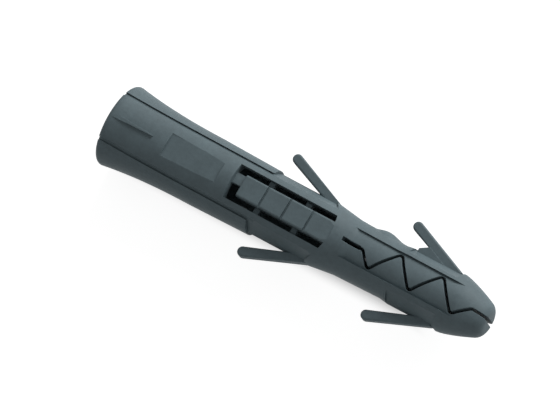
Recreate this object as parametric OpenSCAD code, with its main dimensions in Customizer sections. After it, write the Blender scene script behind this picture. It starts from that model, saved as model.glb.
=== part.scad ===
// Nylon wall plug, moulded in one piece, lying with its four barbs level.
// The origin is the centre of the mouth. +X runs along the plug to its tip, +Z is up.

/* [Sleeve] */
// Outer diameter of the sleeve behind the flared mouth
sleeve_d = 10.1; // [9.8:0.1:11]
// Outer diameter of the rim at the mouth
rim_d = 11.9; // [11.2:0.1:13]
// Radius of the rounded outer edge of the rim
rim_round = 0.6; // [0.3:0.1:0.8]
// Length of the flare behind the mouth
flare_len = 14.5; // [10:0.5:17]
// Length of the sleeve, from the mouth to the collar
sleeve_len = 33.4; // [32:0.2:36]
// Outer diameter of the sleeve where it meets the collar
sleeve_end_d = 9.4; // [9.2:0.05:9.7]

/* [Expansion zone] */
// Length of the conical collar between the sleeve and the waist
collar_len = 3.9; // [3:0.1:5]
// Outer diameter of the waist where it meets the collar
waist_d = 8.35; // [8.1:0.05:8.6]
// Outer diameter of the waist at its other end
waist_end_d = 8; // [7.8:0.05:8.1]
// Length of the waist
waist_len = 7.4; // [6.8:0.1:8.4]
// Outer diameter of the shoulder behind the nose
shoulder_d = 8.65; // [8.5:0.05:9.2]
// Length of the ramp from the waist up to the shoulder
ramp_len = 2.2; // [1:0.1:2.8]
// Length of the shoulder
shoulder_len = 7.1; // [6.8:0.1:8]
// Length of the tapered nose
nose_len = 6; // [5:0.1:8]
// Diameter of the nose where the rounding of its tip begins
tip_d = 5.35; // [4.6:0.05:5.8]
// Radius of the rounding at the tip
tip_round = 1.6; // [0.8:0.1:2]

/* [Screw channel] */
// Diameter of the straight screw guide behind the mouth
guide_d = 6.6; // [6:0.1:7]
// Length of the straight screw guide
guide_len = 19.6; // [18:0.1:21]
// Diameter of the channel where it enters the collar
neck_d = 5.8; // [5.4:0.1:6]
// Diameter of the channel in the expansion zone
throat_d = 3.6; // [3:0.1:4]
// Diameter of the channel at its end inside the nose
throat_end_d = 1.2; // [0.8:0.1:1.6]
// Solid length of the nose ahead of the channel
nose_solid = 3.6; // [3:0.1:4.5]

/* [Sleeve details] */
// Width of the four lengthwise grooves
groove_w = 0.45; // [0.3:0.05:0.6]
// Depth of the four lengthwise grooves
groove_depth = 0.24; // [0.16:0.02:0.4]
// Distance between the grooves and the plug's upright centre plane
groove_y = 3.5; // [3.4:0.05:3.7]
// Length of the raised rib behind the rim
rib_len = 7; // [4:0.2:8]
// Width of the rib at the rim
rib_w = 0.7; // [0.4:0.05:1]
// Height of the rib above the sleeve
rib_h = 0.35; // [0.15:0.05:0.5]
// Distance from the mouth to the bare label flat
label_x = 9.1; // [8:0.1:9.6]
// Length of the label flat
label_len = 8.6; // [6:0.1:9]
// Width of the label flat
label_w = 3.4; // [2.4:0.1:4]
// Depth of the label flat at its centre line
label_depth = 0.28; // [0.15:0.01:0.4]

/* [Window and tongue] */
// Width of the window
window_w = 5.15; // [4.8:0.05:5.5]
// Distance that the window's rounded end reaches past the sleeve
window_over = 2.1; // [1:0.1:2.4]
// Radius of the arc that ends the window and the pockets, seen from above
arc_r = 5.7; // [5:0.05:6.4]
// Width of the gap beside the tongue
slot_w = 0.95; // [0.7:0.05:1.2]
// Length of the gap behind the tongue
slot_end = 1.5; // [1:0.1:2]
// Depth of the tongue's flat top below the sleeve
tongue_drop = 0.75; // [0.55:0.05:0.9]
// Width of the cross grooves on the tongue
rung_w = 0.3; // [0.2:0.05:0.5]
// Depth of the cross grooves on the tongue
rung_depth = 0.35; // [0.2:0.05:0.5]
// Spacing of the cross grooves on the tongue
rung_pitch = 3.6; // [3:0.1:4]
// Number of cross grooves on the tongue
rung_count = 3; // [1:1:3]
// Width of the link that holds the tongue's free end
link_w = 1.6; // [1:0.05:2]
// Sideways offset of the link
link_off = 0.6; // [0:0.05:0.7]
// Width of the thin webs across the side gaps
web_w = 0.9; // [0.5:0.05:1]
// Distance from the tongue's free end to the first web
web_x = 3.4; // [2:0.1:4.5]
// Spacing of the webs
web_pitch = 6; // [4:0.1:7]
// Number of webs in each side gap
web_count = 2; // [1:1:2]
// Depth of the webs' flat tops below the tongue's top
web_drop = 1.2; // [0.4:0.05:1.4]
// Depth of the link below the sleeve's surface
link_drop = 0.9; // [0.6:0.05:1.2]

/* [Barbs] */
// Thickness of a barb at its root, seen from above
barb_root_t = 1.25; // [1:0.05:1.5]
// Thickness of a barb at its round end, seen from above
barb_t = 1.45; // [1.2:0.05:1.7]
// Width of a barb, measured upright
barb_w = 1.4; // [1.2:0.1:2.4]
// Length of a barb from its root to the centre of its round end
barb_len = 9.2; // [8:0.1:10.5]
// Angle between a barb and the plug's axis
barb_angle = 21.3; // [18:0.1:24]
// Distance from the ramp to the root of the front barbs
barb_front_x = 8.4; // [8:0.1:8.8]
// Length of the rear pockets on the sleeve, whose flats the barbs fold onto
pocket_len = 9.5; // [8:0.1:11]
// Distance between a rear pocket's ridge, where its two flats meet, and the centre plane
pocket_ridge = 4.65; // [4.5:0.05:4.7]
// Length of the front pockets behind the nose
front_pocket_len = 8; // [5:0.1:8.6]
// Distance between a front pocket's edge and the plug's centre plane
front_pocket_y = 2.9; // [2.7:0.05:3.2]
// Distance between a front pocket's ridge and the plug's centre plane
front_ridge = 4.25; // [4:0.05:4.3]

/* [Jaws] */
// Width of the zigzag slit
slit_w = 0.42; // [0.3:0.02:0.56]
// Width of the slit along its straight start
lead_w = 0.6; // [0.5:0.05:0.8]
// Straight length of the slit before the first tooth
lead_len = 3.2; // [2:0.1:4]
// Length of one leg of the zigzag, along the plug
zig_pitch = 3.35; // [3:0.05:3.6]
// Height of the zigzag on each side of the centre plane, at its corners before rounding
zig_h = 2.05; // [1.7:0.05:2.1]
// Number of corners in the zigzag
zig_count = 5; // [3:2:5]
// Radius of the zigzag's rounded corners, at the middle of the slit
zig_round = 0.45; // [0.35:0.05:0.6]
// Length of the last leg, which leads back to the centre plane
exit_len = 2.3; // [1.6:0.1:3]
// Width of the slit's mouth at the tip
mouth_w = 1; // [0.6:0.1:1.4]
// Length of the slit's mouth at the tip
mouth_len = 1.3; // [0.8:0.1:1.6]
// Sideways offset of the slit and of its strip
slit_y = 0.15; // [0:0.05:0.2]
// Width of the recessed strip that the zigzag lies in
strip_w = 4.65; // [4.5:0.05:4.8]
// Depth of the recessed strip
strip_depth = 0.42; // [0.24:0.02:0.5]
// Half the length of the slope at the strip's start
strip_fade = 0.8; // [0.5:0.1:1.2]

/* [Upper jaw] */
// Length of the low hump on the waist
hump_len = 4.4; // [3:0.1:5]
// Height of the low hump
hump_h = 0.46; // [0.2:0.02:0.6]
// Radius of the hump across the plug
hump_r = 2.5; // [2:0.1:3]
// Distance from the collar to the hump's middle
hump_x = 4.2; // [3.6:0.1:4.6]
// Distance from the ramp to the block that braces the front barb
block_x = 1.6; // [1:0.1:2.4]
// Length of the block's free top, ahead of the barb
block_len = 1.3; // [0.8:0.1:2]
// Height of the block above the shoulder
block_h = 0.1; // [0.04:0.02:0.3]
// Width of the block, measured upright
block_w = 1.8; // [1.6:0.1:3]

/* [Hidden] */
$fn = 96;
cut = 1;        // how far the cutting tools reach past what they cut
flare_power = 2.4;
nose_power = 1.3;
steps = 12;     // bands in each curved stretch of the outline
tip_turn = 66;  // where the tip's rounding takes over from the nose, in degrees from the axis
slot_sink = 0.2; // how far the side gaps reach below the channel's edge
hump_sink = 0.06; // how far the hump's feet reach below the waist

rim_r = rim_d / 2;
sleeve_r = sleeve_d / 2;
sleeve_end_r = sleeve_end_d / 2;
waist_r = waist_d / 2;
waist_end_r = waist_end_d / 2;
shoulder_r = shoulder_d / 2;
tip_r = tip_d / 2;
guide_r = guide_d / 2;
neck_r = neck_d / 2;
reach = rim_r + barb_len; // beyond every surface of the plug, seen from its axis

waist_x = sleeve_len + collar_len;
ramp_x = waist_x + waist_len;
shoulder_x = ramp_x + ramp_len;
nose_x = shoulder_x + shoulder_len;
length = nose_x + nose_len;
strip_x = waist_x + 0.5;
window_x = guide_len;
window_end = sleeve_len + window_over;
tongue_x = window_x + slot_end;
tongue_w = window_w - 2 * slot_w;
tongue_top = sleeve_r - tongue_drop;
slot_floor = sqrt(neck_r * neck_r - window_w * window_w / 4) - slot_sink;
rung_x = tongue_x + rung_pitch;
zig_x = waist_x + lead_len;
barb_roots = [sleeve_len, ramp_x + barb_front_x];

// Outline of the outside as [station, radius], lowered by a depth d.
function rim_arc(d) = [for (i = [0:steps / 2]) let (a = 180 - 180 / steps * i)
    [rim_round + rim_round * cos(a), rim_r - rim_round + rim_round * sin(a) - d]];
function flare(d) = [for (i = [1:steps]) let (u = i / steps)
    [rim_round + (flare_len - rim_round) * u,
     sleeve_r + (rim_r - sleeve_r) * pow(1 - u, flare_power) - d]];
function nose(d) = [for (i = [0:steps]) let (u = i / steps)
    [nose_x + (nose_len - tip_round * (1 - cos(tip_turn))) * u,
     shoulder_r - (shoulder_r - tip_r) * pow(u, nose_power) - d]];
function tip_arc(d) = [for (i = [1:steps / 2]) let (a = tip_turn * (1 - 2 * i / steps))
    [length - tip_round * (1 - cos(a)), tip_r - tip_round * (sin(tip_turn) - sin(a)) - d]];
function outline(d) = concat(
    rim_arc(d),
    flare(d),
    [[sleeve_len, sleeve_end_r - d], [waist_x, waist_r - d],
     [ramp_x, waist_end_r - d], [shoulder_x, shoulder_r - d]],
    nose(d),
    tip_arc(d));

// The plug's outside as a solid of revolution, lowered by a depth d.
module skin(d = 0) {
    rotate([0, 90, 0])
        rotate_extrude()
            polygon(concat([for (p = outline(d)) [p[1], p[0]]], [[0, length], [0, 0]]));
}

// Everything outside a depth d within the given block.
module shave(d) {
    difference() {
        children();
        skin(d);
    }
}

// A block from x0 to x1 and y0 to y1, from z0 up to z1.
module block(x0, x1, y0, y1, z0, z1) {
    translate([x0, y0, z0])
        cube([x1 - x0, y1 - y0, z1 - z0]);
}

// The same thing on the upper and, turned half round, on the lower face.
module both_faces() {
    children();
    rotate([180, 0, 0]) children();
}

// The zone behind the arc that ends the window and the pockets, seen from above.
module behind_arc(h) {
    linear_extrude(h, center = true)
        union() {
            translate([window_end - arc_r, 0])
                circle(arc_r);
            translate([0, -reach])
                square([window_end - arc_r, 2 * reach]);
        }
}

// Four straight grooves with upright walls, in line with the pockets' edges.
module grooves() {
    for (s = [1, -1], t = [1, -1])
        scale([1, s, t])
            shave(groove_depth)
                block(-cut, sleeve_len - pocket_len + cut, groove_y - groove_w / 2, groove_y + groove_w / 2,
                    0, reach);
}

module rib() {
    intersection() {
        linear_extrude(reach)
            polygon([[0, -rib_w / 2], [rib_len, -rib_w / 8], [rib_len, rib_w / 8], [0, rib_w / 2]]);
        skin(-rib_h);
        rotate([0, 90, 0])
            cylinder(r = rim_r, h = rib_len);
        block(rim_round, rib_len, -rib_w, rib_w, 0, reach);
    }
}

module label_flat() {
    block(label_x, label_x + label_len, -label_w / 2, label_w / 2, sleeve_r - label_depth, reach);
}

// The U-shaped gap round the tongue, open down to the channel.
module window() {
    difference() {
        intersection() {
            block(window_x, window_end, -window_w / 2, window_w / 2, slot_floor, reach);
            behind_arc(3 * reach);
        }
        block(tongue_x, length, -tongue_w / 2, tongue_w / 2, 0, 2 * reach);
    }
    block(tongue_x - cut / 2, window_end, -tongue_w / 2, tongue_w / 2, tongue_top, reach);
    for (i = [0:rung_count - 1])
        block(rung_x + rung_pitch * i - rung_w / 2, rung_x + rung_pitch * i + rung_w / 2,
            -window_w / 2, window_w / 2, tongue_top - rung_depth, reach);
}

// The link behind the tongue and the thin webs beside it.
module links() {
    first_web = tongue_x + web_x - web_w / 2;
    intersection() {
        skin(link_drop);
        union() {
            block(window_x - cut, tongue_x + cut, link_off - link_w / 2, link_off + link_w / 2, 0, tongue_top);
            for (i = [0:web_count - 1])
                block(first_web + web_pitch * i, first_web + web_pitch * i + web_w,
                    -window_w / 2 - slot_w / 2, window_w / 2 + slot_w / 2, 0, tongue_top - web_drop);
        }
    }
}

// What two flats take off a side of radius r. Each runs from y to the ridge in the middle.
module flats(x0, x1, r, y, ridge) {
    z = sqrt(r * r - y * y);
    slope = (ridge - y) / z;
    translate([x0, 0, 0])
        rotate([90, 0, 90])
            linear_extrude(x1 - x0)
                polygon([[y - slope * cut, z + cut], [ridge, 0], [y - slope * cut, -z - cut],
                    [reach, -z - cut], [reach, z + cut]]);
}

// The pockets on both sides, whose flats the barbs fold onto.
module pockets() {
    for (s = [1, -1])
        scale([1, s, 1]) {
            intersection() {
                flats(sleeve_len - pocket_len, window_end, sleeve_end_r, groove_y, pocket_ridge);
                behind_arc(3 * reach);
            }
            flats(nose_x - front_pocket_len, nose_x - cut / 5, shoulder_r, front_pocket_y, front_ridge);
        }
}

// One barb with a round end, its root at station x on the side of +Y.
module barb(x, r) {
    translate([x, r - barb_root_t / 2 / cos(barb_angle), -barb_w / 2])
        rotate([0, 0, 180 - barb_angle])
            linear_extrude(barb_w)
                union() {
                    polygon([[0, -barb_root_t / 2], [barb_len, -barb_t / 2],
                        [barb_len, barb_t / 2], [0, barb_root_t / 2]]);
                    translate([barb_len, 0])
                        circle(barb_t / 2);
                }
}

module barbs() {
    for (s = [1, -1])
        scale([1, s, 1]) {
            barb(barb_roots[0], sleeve_end_r);
            barb(barb_roots[1], shoulder_r);
        }
}

// The low hump on the waist, on one side only: a swell that is round across the plug as well.
module hump() {
    swell = hump_h + hump_sink;
    run = hump_len * 180 / acos(2 * hump_sink / swell - 1);
    centre_r = waist_r + (waist_end_r - waist_r) * hump_x / waist_len + hump_h - hump_r;
    translate([waist_x + hump_x, centre_r, 0])
        rotate([0, 90, 0])
            rotate_extrude()
                polygon(concat(
                    [for (i = [-steps:steps]) let (u = i / steps)
                        [hump_r - swell * (1 - cos(180 * u)) / 2, run / 2 * u]],
                    [[0, run / 2], [0, -run / 2]]));
}

// The block that fills the corner between the shoulder and the front barb, on the same side.
module brace() {
    x0 = ramp_x + block_x;
    x1 = x0 + block_len;
    inner_y = shoulder_r - barb_root_t / cos(barb_angle) + (barb_roots[1] - x1) * tan(barb_angle);
    linear_extrude(block_w, center = true)
        polygon([[x0, front_pocket_y], [x0, shoulder_r + block_h], [x1, inner_y + block_h],
            [barb_roots[1], front_pocket_y]]);
}

// The screw channel: straight guide, slow taper, collar cone, throat, closed end.
module channel() {
    rotate([0, 90, 0])
        rotate_extrude()
            polygon([[0, -cut], [guide_r, -cut], [guide_r, guide_len], [neck_r, sleeve_len],
                [throat_d / 2, waist_x], [throat_d / 2, nose_x],
                [throat_end_d / 2, length - nose_solid], [0, length - nose_solid]]);
}

// Sharp corners of the zigzag slit, seen from above, and the heading of the leg behind corner i.
zigzag = concat(
    [[waist_x, 0], [zig_x, 0]],
    [for (i = [0:zig_count - 1])
        [zig_x + zig_pitch * (i + 0.5), (i % 2 == 0 ? -1 : 1) * zig_h]],
    [[zig_x + zig_pitch * (zig_count - 0.5) + exit_len, 0], [length + cut, 0]]);
function heading(i) = let (v = zigzag[i + 1] - zigzag[i]) atan2(v[1], v[0]);

// Corner i rounded, as [point, heading] along the middle of the slit.
function bend(i) =
    let (a = heading(i - 1), b = heading(i), side = sign(b - a),
         start = zigzag[i] - zig_round * tan(abs(b - a) / 2) * [cos(a), sin(a)],
         centre = start + side * zig_round * [-sin(a), cos(a)])
    [for (k = [0:4]) let (h = a + (b - a) * k / 4)
        [centre + side * zig_round * [sin(h), -cos(h)], h]];

module slit() {
    last = len(zigzag) - 1;
    path = concat([[zigzag[0], 0]], [for (i = [1:last - 1]) each bend(i)], [[zigzag[last], 0]]);
    function edge(i, d) = path[i][0] + d * [-sin(path[i][1]), cos(path[i][1])];
    linear_extrude(2 * reach, center = true)
        union() {
            polygon(concat(
                [for (i = [0:len(path) - 1]) edge(i, slit_w / 2)],
                [for (i = [len(path) - 1:-1:0]) edge(i, -slit_w / 2)]));
            translate([waist_x, -lead_w / 2])
                square([lead_len - zig_round, lead_w]);
            polygon([[length - mouth_len, 0], [length + cut, -mouth_w / 2], [length + cut, mouth_w / 2]]);
        }
}

// The strip round the slit. Its floor slopes in at the collar and runs out on the nose.
module strip() {
    difference() {
        block(strip_x - strip_fade, length - cut, -strip_w / 2, strip_w / 2, 0, reach);
        rotate([0, 90, 0])
            rotate_extrude()
                polygon([[0, 0], [waist_r + strip_depth, 0],
                    [waist_r + strip_depth, strip_x - strip_fade], [waist_r - strip_depth, strip_x + strip_fade],
                    [waist_end_r - strip_depth, ramp_x], [shoulder_r - strip_depth, shoulder_x],
                    [shoulder_r - strip_depth, length], [0, length]]);
    }
}

module wall_plug() {
    color([0.30, 0.34, 0.36])
        difference() {
            union() {
                difference() {
                    skin();
                    grooves();
                    pockets();
                    both_faces() {
                        label_flat();
                        window();
                    }
                    for (t = [1, -1])
                        translate([0, slit_y, 0]) scale([1, 1, t]) strip();
                }
                both_faces() {
                    rib();
                    links();
                }
                barbs();
                hump();
                brace();
            }
            channel();
            translate([0, slit_y, 0]) slit();
        }
}

wall_plug();
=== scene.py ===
"""Moulded nylon wall plug, laid on a pale floor under soft studio light."""
import math

import bmesh
import bpy
from bpy.props import FloatProperty, FloatVectorProperty, IntProperty, PointerProperty
from bpy.types import Operator, Panel, PropertyGroup
from mathutils import Matrix, Vector


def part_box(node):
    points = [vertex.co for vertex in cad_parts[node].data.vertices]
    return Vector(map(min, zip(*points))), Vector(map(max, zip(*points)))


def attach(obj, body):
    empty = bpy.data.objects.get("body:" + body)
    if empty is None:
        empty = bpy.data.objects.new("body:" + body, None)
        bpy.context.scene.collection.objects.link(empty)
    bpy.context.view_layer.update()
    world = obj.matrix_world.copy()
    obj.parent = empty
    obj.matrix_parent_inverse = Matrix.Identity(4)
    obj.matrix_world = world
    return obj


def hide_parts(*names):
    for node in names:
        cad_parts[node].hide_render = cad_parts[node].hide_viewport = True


bl_info = {
    "name": "Wall plug",
    "version": (1, 0, 0),
    "blender": (4, 5, 0),
    "location": "3D View > Sidebar > Wall plug",
    "description": "Finishes a moulded nylon wall plug and sets it on a studio floor",
    "category": "Object",
}

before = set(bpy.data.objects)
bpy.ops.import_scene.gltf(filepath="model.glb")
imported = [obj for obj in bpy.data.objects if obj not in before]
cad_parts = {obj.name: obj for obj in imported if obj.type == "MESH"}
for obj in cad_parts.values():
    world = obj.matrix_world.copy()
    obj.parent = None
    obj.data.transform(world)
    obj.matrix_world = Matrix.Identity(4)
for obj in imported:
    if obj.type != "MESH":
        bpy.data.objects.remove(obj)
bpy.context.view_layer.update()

MM = 0.001
NODE = "wall_plug"
BODY = "root"

# Most values of a noise texture lie between these two.
NOISE_LOW = 0.3
NOISE_HIGH = 0.7

# Faces that turn by less than this become one before the edges are rounded.
FLUSH_ANGLE = math.radians(0.05)
# An edge that another edge leaves at less than this can't be rounded cleanly.
GRAZE_ANGLE = math.radians(10)

# The barbs' and tongues' long outer edges turn by at least this, lie level and bound a level face.
OUTER_ANGLE = math.radians(60)
LEVEL_NORMAL = 0.999
LEVEL_RISE = 0.001 * MM
# Allowance on the height of the barbs' flat tops.
BARB_SLACK = 0.01 * MM
# The tongues' long edges lie further than this from the plug's middle, and are longer than this.
TONGUE_ASIDE = 1 * MM
TONGUE_LENGTH = 2 * MM

# Painted shadow: the floor right under the plug is painted dark, so that it doesn't shine through
# the slit and windows. Each pair holds the distances from the painted shadow's middle where it
# starts to fade and ends.
PAINTED_SHADOW_MIDDLE = 26 * MM
PAINTED_SHADOW_ALONG = (12 * MM, 26 * MM)
PAINTED_SHADOW_ACROSS = (1.2 * MM, 5.2 * MM)
# Share of the floor's colour that is left in the painted shadow.
PAINTED_SHADOW_SHARE = 0.25

SKY_COLOUR = (0.8, 0.8, 0.8, 1.0)
# Width of the camera's sensor in millimetres, and the nearest distance that it sees, in metres.
SENSOR_WIDTH = 36.0
CLIP_START = 0.01


class WallPlugFinish(PropertyGroup):
    """Colour, grain and rounded edges of the moulded nylon."""

    colour: FloatVectorProperty(
        name="Colour", description="Colour of the nylon", subtype="COLOR", size=3,
        default=(0.105, 0.142, 0.156), min=0, max=1)
    roughness: FloatProperty(
        name="Roughness", description="Mean roughness of the moulded surface", subtype="FACTOR",
        default=0.585, min=0.05, max=1)
    roughness_spread: FloatProperty(
        name="Roughness spread", description="How far the clouds move the roughness either way",
        subtype="FACTOR", default=0.055, min=0, max=0.3)
    specular: FloatProperty(
        name="Specular level", description="Strength of the surface's own reflection",
        subtype="FACTOR", default=0.25, min=0, max=1)
    cloud_size: FloatProperty(
        name="Cloud size", description="Size of the faint clouds in the colour and the roughness",
        unit="LENGTH", default=2.857 * MM, min=0.5 * MM, max=20 * MM)
    cloud_tint: FloatProperty(
        name="Cloud tint", description="How far the clouds lighten and darken the colour",
        subtype="FACTOR", default=0.1, min=0, max=0.5)
    fleck_size: FloatProperty(
        name="Fleck size", description="Size of the faint flecks and swells in the surface",
        unit="LENGTH", default=0.6 * MM, min=0.05 * MM, max=5 * MM)
    fleck_tint: FloatProperty(
        name="Fleck tint", description="How far the flecks lighten and darken the colour",
        subtype="FACTOR", default=0.06, min=0, max=0.5)
    swell_depth: FloatProperty(
        name="Swell depth", description="Depth of the faint swells", unit="LENGTH",
        default=0.016 * MM, min=0, max=0.1 * MM)
    grain_size: FloatProperty(
        name="Grain size", description="Size of the fine grain left by the mould", unit="LENGTH",
        default=0.16 * MM, min=0.02 * MM, max=2 * MM)
    grain_depth: FloatProperty(
        name="Grain depth", description="Depth of the fine grain", unit="LENGTH",
        default=0.006 * MM, min=0.0005 * MM, max=0.1 * MM)
    edge_width: FloatProperty(
        name="Edge width", description="Width of the fine rounding on moulded edges",
        unit="LENGTH", default=0.06 * MM, min=0.01 * MM, max=0.3 * MM)
    edge_angle: FloatProperty(
        name="Edge angle", description="Edges sharper than this take the fine rounding",
        subtype="ANGLE", default=math.radians(38), min=math.radians(10), max=math.radians(80))
    edge_segments: IntProperty(
        name="Edge segments", description="Faces across the fine rounding", default=2, min=1,
        max=6)
    round_width: FloatProperty(
        name="Round width", description="Width of the rounding on the barbs and tongues",
        unit="LENGTH", default=0.28 * MM, min=0.05 * MM, max=0.5 * MM)
    round_segments: IntProperty(
        name="Round segments", description="Faces across the rounding of the barbs and tongues",
        default=6, min=1, max=12)
    barb_half: FloatProperty(
        name="Half a barb", description="Height of the barbs' flat tops above the plug's middle",
        unit="LENGTH", default=0.7 * MM, min=0.1 * MM, max=3 * MM)
    smooth_angle: FloatProperty(
        name="Smooth angle", description="Faces that turn by less than this are shaded as one",
        subtype="ANGLE", default=math.radians(17), min=math.radians(5), max=math.radians(60))
    flat_area: FloatProperty(
        name="Flat area", description="Faces larger than this are shaded as flats", unit="AREA",
        default=7 * MM ** 2, min=1 * MM ** 2, max=100 * MM ** 2)
    weld: FloatProperty(
        name="Weld distance", description="Points closer than this become one", unit="LENGTH",
        default=0.002 * MM, min=0.0005 * MM, max=0.05 * MM)


class WallPlugStudio(PropertyGroup):
    """Floor, sky, lamp and camera."""

    floor_size: FloatProperty(
        name="Floor size", description="Width of the floor", unit="LENGTH", default=3.0, min=0.2,
        max=20)
    floor_colour: FloatVectorProperty(
        name="Floor colour", description="Colour of the floor", subtype="COLOR", size=3,
        default=(0.5, 0.5, 0.5), min=0, max=1)
    floor_lift: FloatProperty(
        name="Floor lift", description="Light that the floor shows beyond what falls on it",
        default=0.86, min=0, max=1)
    sky: FloatProperty(
        name="Sky", description="Strength of the even light from all round", default=0.38,
        min=0, max=3)
    key_power: FloatProperty(
        name="Key power", description="Power of the large lamp beside the plug", unit="POWER",
        default=3.9, min=0, max=100)
    key_size: FloatProperty(
        name="Key size", description="Width of the lamp", unit="LENGTH", default=0.5, min=0.01,
        max=2)
    key_azimuth: FloatProperty(
        name="Key azimuth", description="Direction of the lamp round the plug", subtype="ANGLE",
        default=math.radians(75), min=-math.pi, max=math.pi)
    key_elevation: FloatProperty(
        name="Key elevation", description="Height angle of the lamp above the plug",
        subtype="ANGLE", default=math.radians(20), min=0, max=math.pi / 2)
    key_distance: FloatProperty(
        name="Key distance", description="Distance from the plug's middle to the lamp",
        unit="LENGTH", default=0.6, min=0.1, max=5)
    azimuth: FloatProperty(
        name="Camera azimuth", description="Direction of the camera round the plug",
        subtype="ANGLE", default=math.radians(-24.552), min=-math.pi, max=math.pi)
    elevation: FloatProperty(
        name="Camera elevation", description="Height angle of the camera above the plug",
        subtype="ANGLE", default=math.radians(69.445), min=-math.pi / 2, max=math.pi / 2)
    roll: FloatProperty(
        name="Camera roll", description="Turn of the camera about its own line of sight",
        subtype="ANGLE", default=math.radians(-35.79), min=-math.pi, max=math.pi)
    distance: FloatProperty(
        name="Camera distance", description="Distance from the plug's middle to the camera",
        unit="LENGTH", default=1.8298, min=0.1, max=5)
    focal_length: FloatProperty(
        name="Focal length", description="Focal length of the lens, in millimetres",
        subtype="DISTANCE_CAMERA", default=869.7, min=20, max=2000)
    frame_right: FloatProperty(
        name="Frame right", description="How far the plug's middle lies right of the picture's",
        unit="LENGTH", default=3.0725 * MM, min=-0.05, max=0.05)
    frame_up: FloatProperty(
        name="Frame up", description="How far the plug's middle lies above the picture's",
        unit="LENGTH", default=-1.8135 * MM, min=-0.05, max=0.05)


def box_middle():
    """The point of the plug's axis halfway along its box."""
    low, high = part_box(NODE)
    return Vector(((low.x + high.x) / 2, 0.0, 0.0))


def view_axes(azimuth, elevation, roll=0.0):
    """Right, up and backward directions of a camera or lamp that looks from there."""
    backward = Vector((
        math.cos(elevation) * math.cos(azimuth),
        math.cos(elevation) * math.sin(azimuth),
        math.sin(elevation)))
    level_right = Vector((0, 0, 1)).cross(backward).normalized()
    level_up = backward.cross(level_right)
    right = math.cos(roll) * level_right + math.sin(roll) * level_up
    up = backward.cross(right)
    return right, up, backward


def placed(axes, place):
    """World matrix of an object with those axes at that place."""
    return Matrix.Translation(place) @ Matrix(axes).transposed().to_4x4()


class Nodes:
    """Adds and links the shader nodes of one material or world."""

    def __init__(self, owner):
        owner.use_nodes = True
        self.tree = owner.node_tree
        self.tree.nodes.clear()

    def add(self, kind, inputs=None, **settings):
        """A new node with those settings, whose inputs are linked to sockets or set to values."""
        node = self.tree.nodes.new(kind)
        for name, value in settings.items():
            setattr(node, name, value)
        for name, value in (inputs or {}).items():
            if isinstance(value, bpy.types.NodeSocket):
                self.tree.links.new(value, node.inputs[name])
            else:
                node.inputs[name].default_value = value
        return node

    def compute(self, operation, *terms):
        """Result of a math node."""
        inputs = dict(enumerate(terms))
        return self.add("ShaderNodeMath", inputs, operation=operation).outputs[0]

    def noise(self, place, size, detail, roughness):
        """Noise with features of about that size."""
        return self.add("ShaderNodeTexNoise", {
            "Vector": place, "Scale": 1.0 / size, "Detail": detail,
            "Roughness": roughness}).outputs["Fac"]

    def around(self, noise, middle, reach):
        """The noise, mapped to run from middle - reach to middle + reach."""
        return self.add("ShaderNodeMapRange", {
            "Value": noise, "From Min": NOISE_LOW, "From Max": NOISE_HIGH,
            "To Min": middle - reach, "To Max": middle + reach}).outputs["Result"]

    def beyond(self, offset, ends):
        """0 up to the first of two distances either way, rising softly to 1 at the second."""
        dark, clear = ends
        return self.add("ShaderNodeMapRange", {
            "Value": self.compute("ABSOLUTE", offset), "From Min": dark, "From Max": clear},
            interpolation_type="SMOOTHSTEP").outputs["Result"]

    def scaled(self, colour, amount):
        """A colour, made lighter or darker by that amount."""
        return self.add("ShaderNodeVectorMath", {0: colour, 3: amount},
                        operation="SCALE").outputs[0]

    def seen(self):
        """1 for what the camera sees, straight, by reflection or through glass, and otherwise 0."""
        rays = self.add("ShaderNodeLightPath").outputs
        straight = self.compute("MAXIMUM", rays["Is Camera Ray"], rays["Is Glossy Ray"])
        return self.compute("MAXIMUM", straight, rays["Is Transmission Ray"])


def nylon_material(finish):
    """Satin moulded nylon: fine mould grain, swells, and faint clouds and flecks of colour."""
    material = bpy.data.materials.new("moulded_nylon")
    nodes = Nodes(material)
    place = nodes.add("ShaderNodeTexCoord").outputs["Object"]
    cloud = nodes.noise(place, finish.cloud_size, detail=4.0, roughness=0.6)
    fleck = nodes.noise(place, finish.fleck_size, detail=3.0, roughness=0.6)
    grain = nodes.noise(place, finish.grain_size, detail=2.0, roughness=0.55)

    tint = nodes.compute(
        "MULTIPLY", nodes.around(cloud, 1.0, finish.cloud_tint),
        nodes.around(fleck, 1.0, finish.fleck_tint))
    height = nodes.compute("MULTIPLY_ADD", fleck, finish.swell_depth / finish.grain_depth, grain)
    bump = nodes.add("ShaderNodeBump", {
        "Height": height, "Strength": 1.0, "Distance": finish.grain_depth})
    surface = nodes.add("ShaderNodeBsdfPrincipled", {
        "Base Color": nodes.scaled(finish.colour, tint),
        "Roughness": nodes.around(cloud, finish.roughness, finish.roughness_spread),
        "IOR": 1.5, "Specular IOR Level": finish.specular, "Normal": bump.outputs["Normal"]})
    nodes.add("ShaderNodeOutputMaterial", {"Surface": surface.outputs["BSDF"]})
    return material


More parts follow.
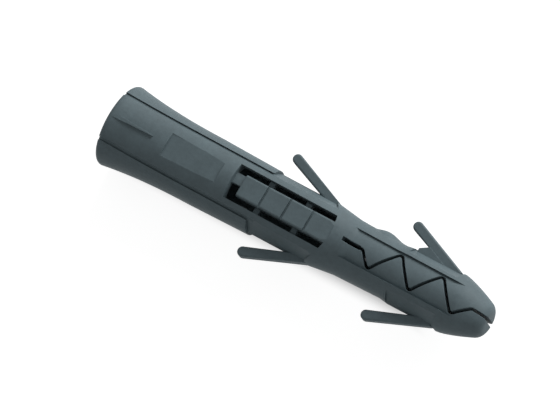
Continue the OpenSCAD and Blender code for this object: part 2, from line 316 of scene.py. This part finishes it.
def floor_material(studio):
    """Matt pale floor, almost white to the camera, with the plug's soft shadow and a painted one.
    """
    material = bpy.data.materials.new("pale_floor")
    nodes = Nodes(material)
    place = nodes.add("ShaderNodeTexCoord").outputs["Object"]
    axes = nodes.add("ShaderNodeSeparateXYZ", {"Vector": place}).outputs
    # Painted shadow: clear is 0 right under the plug, which darkens the floor's colour and drops
    # its glow.
    along = nodes.compute("SUBTRACT", axes["X"], PAINTED_SHADOW_MIDDLE)
    clear = nodes.compute(
        "MAXIMUM", nodes.beyond(along, PAINTED_SHADOW_ALONG), nodes.beyond(axes["Y"], PAINTED_SHADOW_ACROSS))

    seen = nodes.compute("MULTIPLY", nodes.seen(), clear)
    lift = nodes.compute("MULTIPLY", seen, studio.floor_lift)
    # Painted shadow: the floor's colour is darkened right under the plug.
    painted_shadow = nodes.add("ShaderNodeMapRange", {"Value": clear, "To Min": PAINTED_SHADOW_SHARE})
    paint = nodes.add("ShaderNodeBsdfDiffuse", {
        "Color": nodes.scaled(studio.floor_colour, painted_shadow.outputs["Result"])})
    glow = nodes.add("ShaderNodeEmission", {"Strength": lift})
    both = nodes.add("ShaderNodeAddShader", {
        0: paint.outputs["BSDF"], 1: glow.outputs["Emission"]})
    nodes.add("ShaderNodeOutputMaterial", {"Surface": both.outputs["Shader"]})
    return material


def check_closed(shell, message):
    """Stop with that message if an edge of the mesh hasn't two faces."""
    if any(not edge.is_manifold for edge in shell.edges):
        raise RuntimeError(message)


def grazed(edge, others):
    """Whether an edge that isn't among the others leaves this one's end almost along it."""
    for point in edge.verts:
        along = edge.other_vert(point).co - point.co
        for near in point.link_edges:
            turn = along.angle(near.other_vert(point).co - point.co, math.pi)
            if near not in others and turn < GRAZE_ANGLE:
                return True
    return False


def long_edges(shell, finish):
    """The barbs' and tongues' long outer edges, which the mould rounds more than the rest."""
    chosen = []
    for edge in shell.edges:
        low, high = sorted(abs(point.co.z) for point in edge.verts)
        level = high - low <= LEVEL_RISE and any(
            abs(face.normal.z) > LEVEL_NORMAL and face.calc_area() > finish.flat_area
            for face in edge.link_faces)
        if not level or not edge.is_convex or edge.calc_face_angle() < OUTER_ANGLE:
            continue
        aside = min(abs(point.co.y) for point in edge.verts)
        length = abs(edge.verts[0].co.x - edge.verts[1].co.x)
        on_barb = high < finish.barb_half + BARB_SLACK
        on_tongue = aside > TONGUE_ASIDE and length > TONGUE_LENGTH
        if on_barb or on_tongue:
            chosen.append(edge)
    return chosen


def sharp_edges(shell, finish):
    """The other sharp outer edges, without those that another edge grazes."""
    sharp = {edge for edge in shell.edges
             if edge.is_convex and edge.calc_face_angle() > finish.edge_angle}
    return [edge for edge in shell.edges if edge in sharp and not grazed(edge, sharp)]


def round_off(shell, edges, width, segments):
    """Round those edges to that width."""
    bmesh.ops.bevel(
        shell, geom=edges, offset=width, offset_type="OFFSET", segments=segments, profile=0.5,
        affect="EDGES", clamp_overlap=False, material=-1)


def rounded_mesh(source, finish):
    """A closed copy of the plug's mesh whose outer edges are rounded as a mould leaves them."""
    shell = bmesh.new()
    shell.from_mesh(source)
    bmesh.ops.remove_doubles(shell, verts=shell.verts, dist=finish.weld)
    bmesh.ops.dissolve_limit(
        shell, angle_limit=FLUSH_ANGLE, verts=shell.verts, edges=shell.edges)
    check_closed(shell, "the plug's mesh isn't closed, so its edges can't be rounded")
    round_off(shell, long_edges(shell, finish), finish.round_width, finish.round_segments)
    bmesh.ops.remove_doubles(shell, verts=shell.verts, dist=finish.weld)
    round_off(shell, sharp_edges(shell, finish), finish.edge_width, finish.edge_segments)
    bmesh.ops.dissolve_degenerate(shell, dist=finish.weld, edges=shell.edges)
    check_closed(shell, "the rounded edges left the plug's mesh open")
    for face in shell.faces:
        face.smooth = True
    for edge in shell.edges:
        flat = max(face.calc_area() for face in edge.link_faces) > finish.flat_area
        edge.smooth = not flat and edge.calc_face_angle() < finish.smooth_angle
    mesh = bpy.data.meshes.new("plug_body")
    shell.to_mesh(mesh)
    shell.free()
    return mesh


class WALLPLUG_OT_finish(Operator):
    """Round the plug's edges and give it its nylon finish"""

    bl_idname = "wall_plug.finish"
    bl_label = "Finish plug"

    def execute(self, context):
        finish = context.scene.wall_plug_finish
        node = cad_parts[NODE]
        plug = bpy.data.objects.new("plug_body", rounded_mesh(node.data, finish))
        context.scene.collection.objects.link(plug)
        plug.data.materials.append(nylon_material(finish))
        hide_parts(NODE)
        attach(plug, BODY)
        return {"FINISHED"}


def add_floor(studio):
    """A wide level floor at the height of the plug's lowest point."""
    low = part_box(NODE)[0]
    mesh = bpy.data.meshes.new("floor")
    sheet = bmesh.new()
    bmesh.ops.create_grid(sheet, x_segments=1, y_segments=1, size=studio.floor_size / 2)
    bmesh.ops.translate(sheet, vec=(box_middle().x, 0, low.z), verts=sheet.verts)
    sheet.to_mesh(mesh)
    sheet.free()
    floor = bpy.data.objects.new("floor", mesh)
    bpy.context.scene.collection.objects.link(floor)
    mesh.materials.append(floor_material(studio))


def add_sky(studio):
    """An even light from all round, which the camera sees as a pale backdrop."""
    world = bpy.data.worlds.new("sky")
    bpy.context.scene.world = world
    nodes = Nodes(world)
    strength = nodes.add("ShaderNodeMapRange", {
        "Value": nodes.seen(), "To Min": studio.sky, "To Max": 1.0})
    light = nodes.add("ShaderNodeBackground", {
        "Color": SKY_COLOUR, "Strength": strength.outputs["Result"]})
    nodes.add("ShaderNodeOutputWorld", {"Surface": light.outputs["Background"]})


def add_key_lamp(studio):
    """A square soft lamp that faces the plug's middle."""
    lamp = bpy.data.lights.new("key_lamp", "AREA")
    lamp.energy = studio.key_power
    lamp.size = studio.key_size
    key_lamp = bpy.data.objects.new("key_lamp", lamp)
    axes = view_axes(studio.key_azimuth, studio.key_elevation)
    key_lamp.matrix_world = placed(axes, box_middle() + axes[2] * studio.key_distance)
    bpy.context.scene.collection.objects.link(key_lamp)


def add_camera(studio):
    """The camera, at the angle from which the plug is seen."""
    right, up, backward = view_axes(studio.azimuth, studio.elevation, studio.roll)
    place = box_middle() + backward * studio.distance
    place -= right * studio.frame_right + up * studio.frame_up
    lens = bpy.data.cameras.new("camera")
    lens.sensor_width = SENSOR_WIDTH
    lens.lens = studio.focal_length
    lens.clip_start = CLIP_START
    camera = bpy.data.objects.new("camera", lens)
    camera.matrix_world = placed((right, up, backward), place)
    bpy.context.scene.collection.objects.link(camera)
    bpy.context.scene.camera = camera


class WALLPLUG_OT_stage(Operator):
    """Add the floor, the sky, the soft lamp and the camera"""

    bl_idname = "wall_plug.stage"
    bl_label = "Set up stage"

    def execute(self, context):
        studio = context.scene.wall_plug_studio
        context.scene.view_settings.view_transform = "Standard"
        add_floor(studio)
        add_sky(studio)
        add_key_lamp(studio)
        add_camera(studio)
        return {"FINISHED"}


class WALLPLUG_PT_sidebar(Panel):
    """Lists the steps that finish and stage the plug, each under its settings"""

    bl_label = "Wall plug"
    bl_space_type = "VIEW_3D"
    bl_region_type = "UI"
    bl_category = "Wall plug"

    def draw(self, context):
        scene = context.scene
        for group, step in (
                (scene.wall_plug_finish, WALLPLUG_OT_finish),
                (scene.wall_plug_studio, WALLPLUG_OT_stage)):
            box = self.layout.box()
            for name in group.bl_rna.properties.keys():
                if name not in ("rna_type", "name"):
                    box.prop(group, name)
            box.operator(step.bl_idname)


CLASSES = (
    WallPlugFinish, WallPlugStudio, WALLPLUG_OT_finish, WALLPLUG_OT_stage, WALLPLUG_PT_sidebar)


def register():
    for cls in CLASSES:
        bpy.utils.register_class(cls)
    bpy.types.Scene.wall_plug_finish = PointerProperty(type=WallPlugFinish)
    bpy.types.Scene.wall_plug_studio = PointerProperty(type=WallPlugStudio)


def unregister():
    del bpy.types.Scene.wall_plug_studio
    del bpy.types.Scene.wall_plug_finish
    for cls in reversed(CLASSES):
        bpy.utils.unregister_class(cls)


def main():
    """Finish and stage the plug."""
    register()
    bpy.ops.wall_plug.finish()
    bpy.ops.wall_plug.stage()


if __name__ == "__main__":
    main()
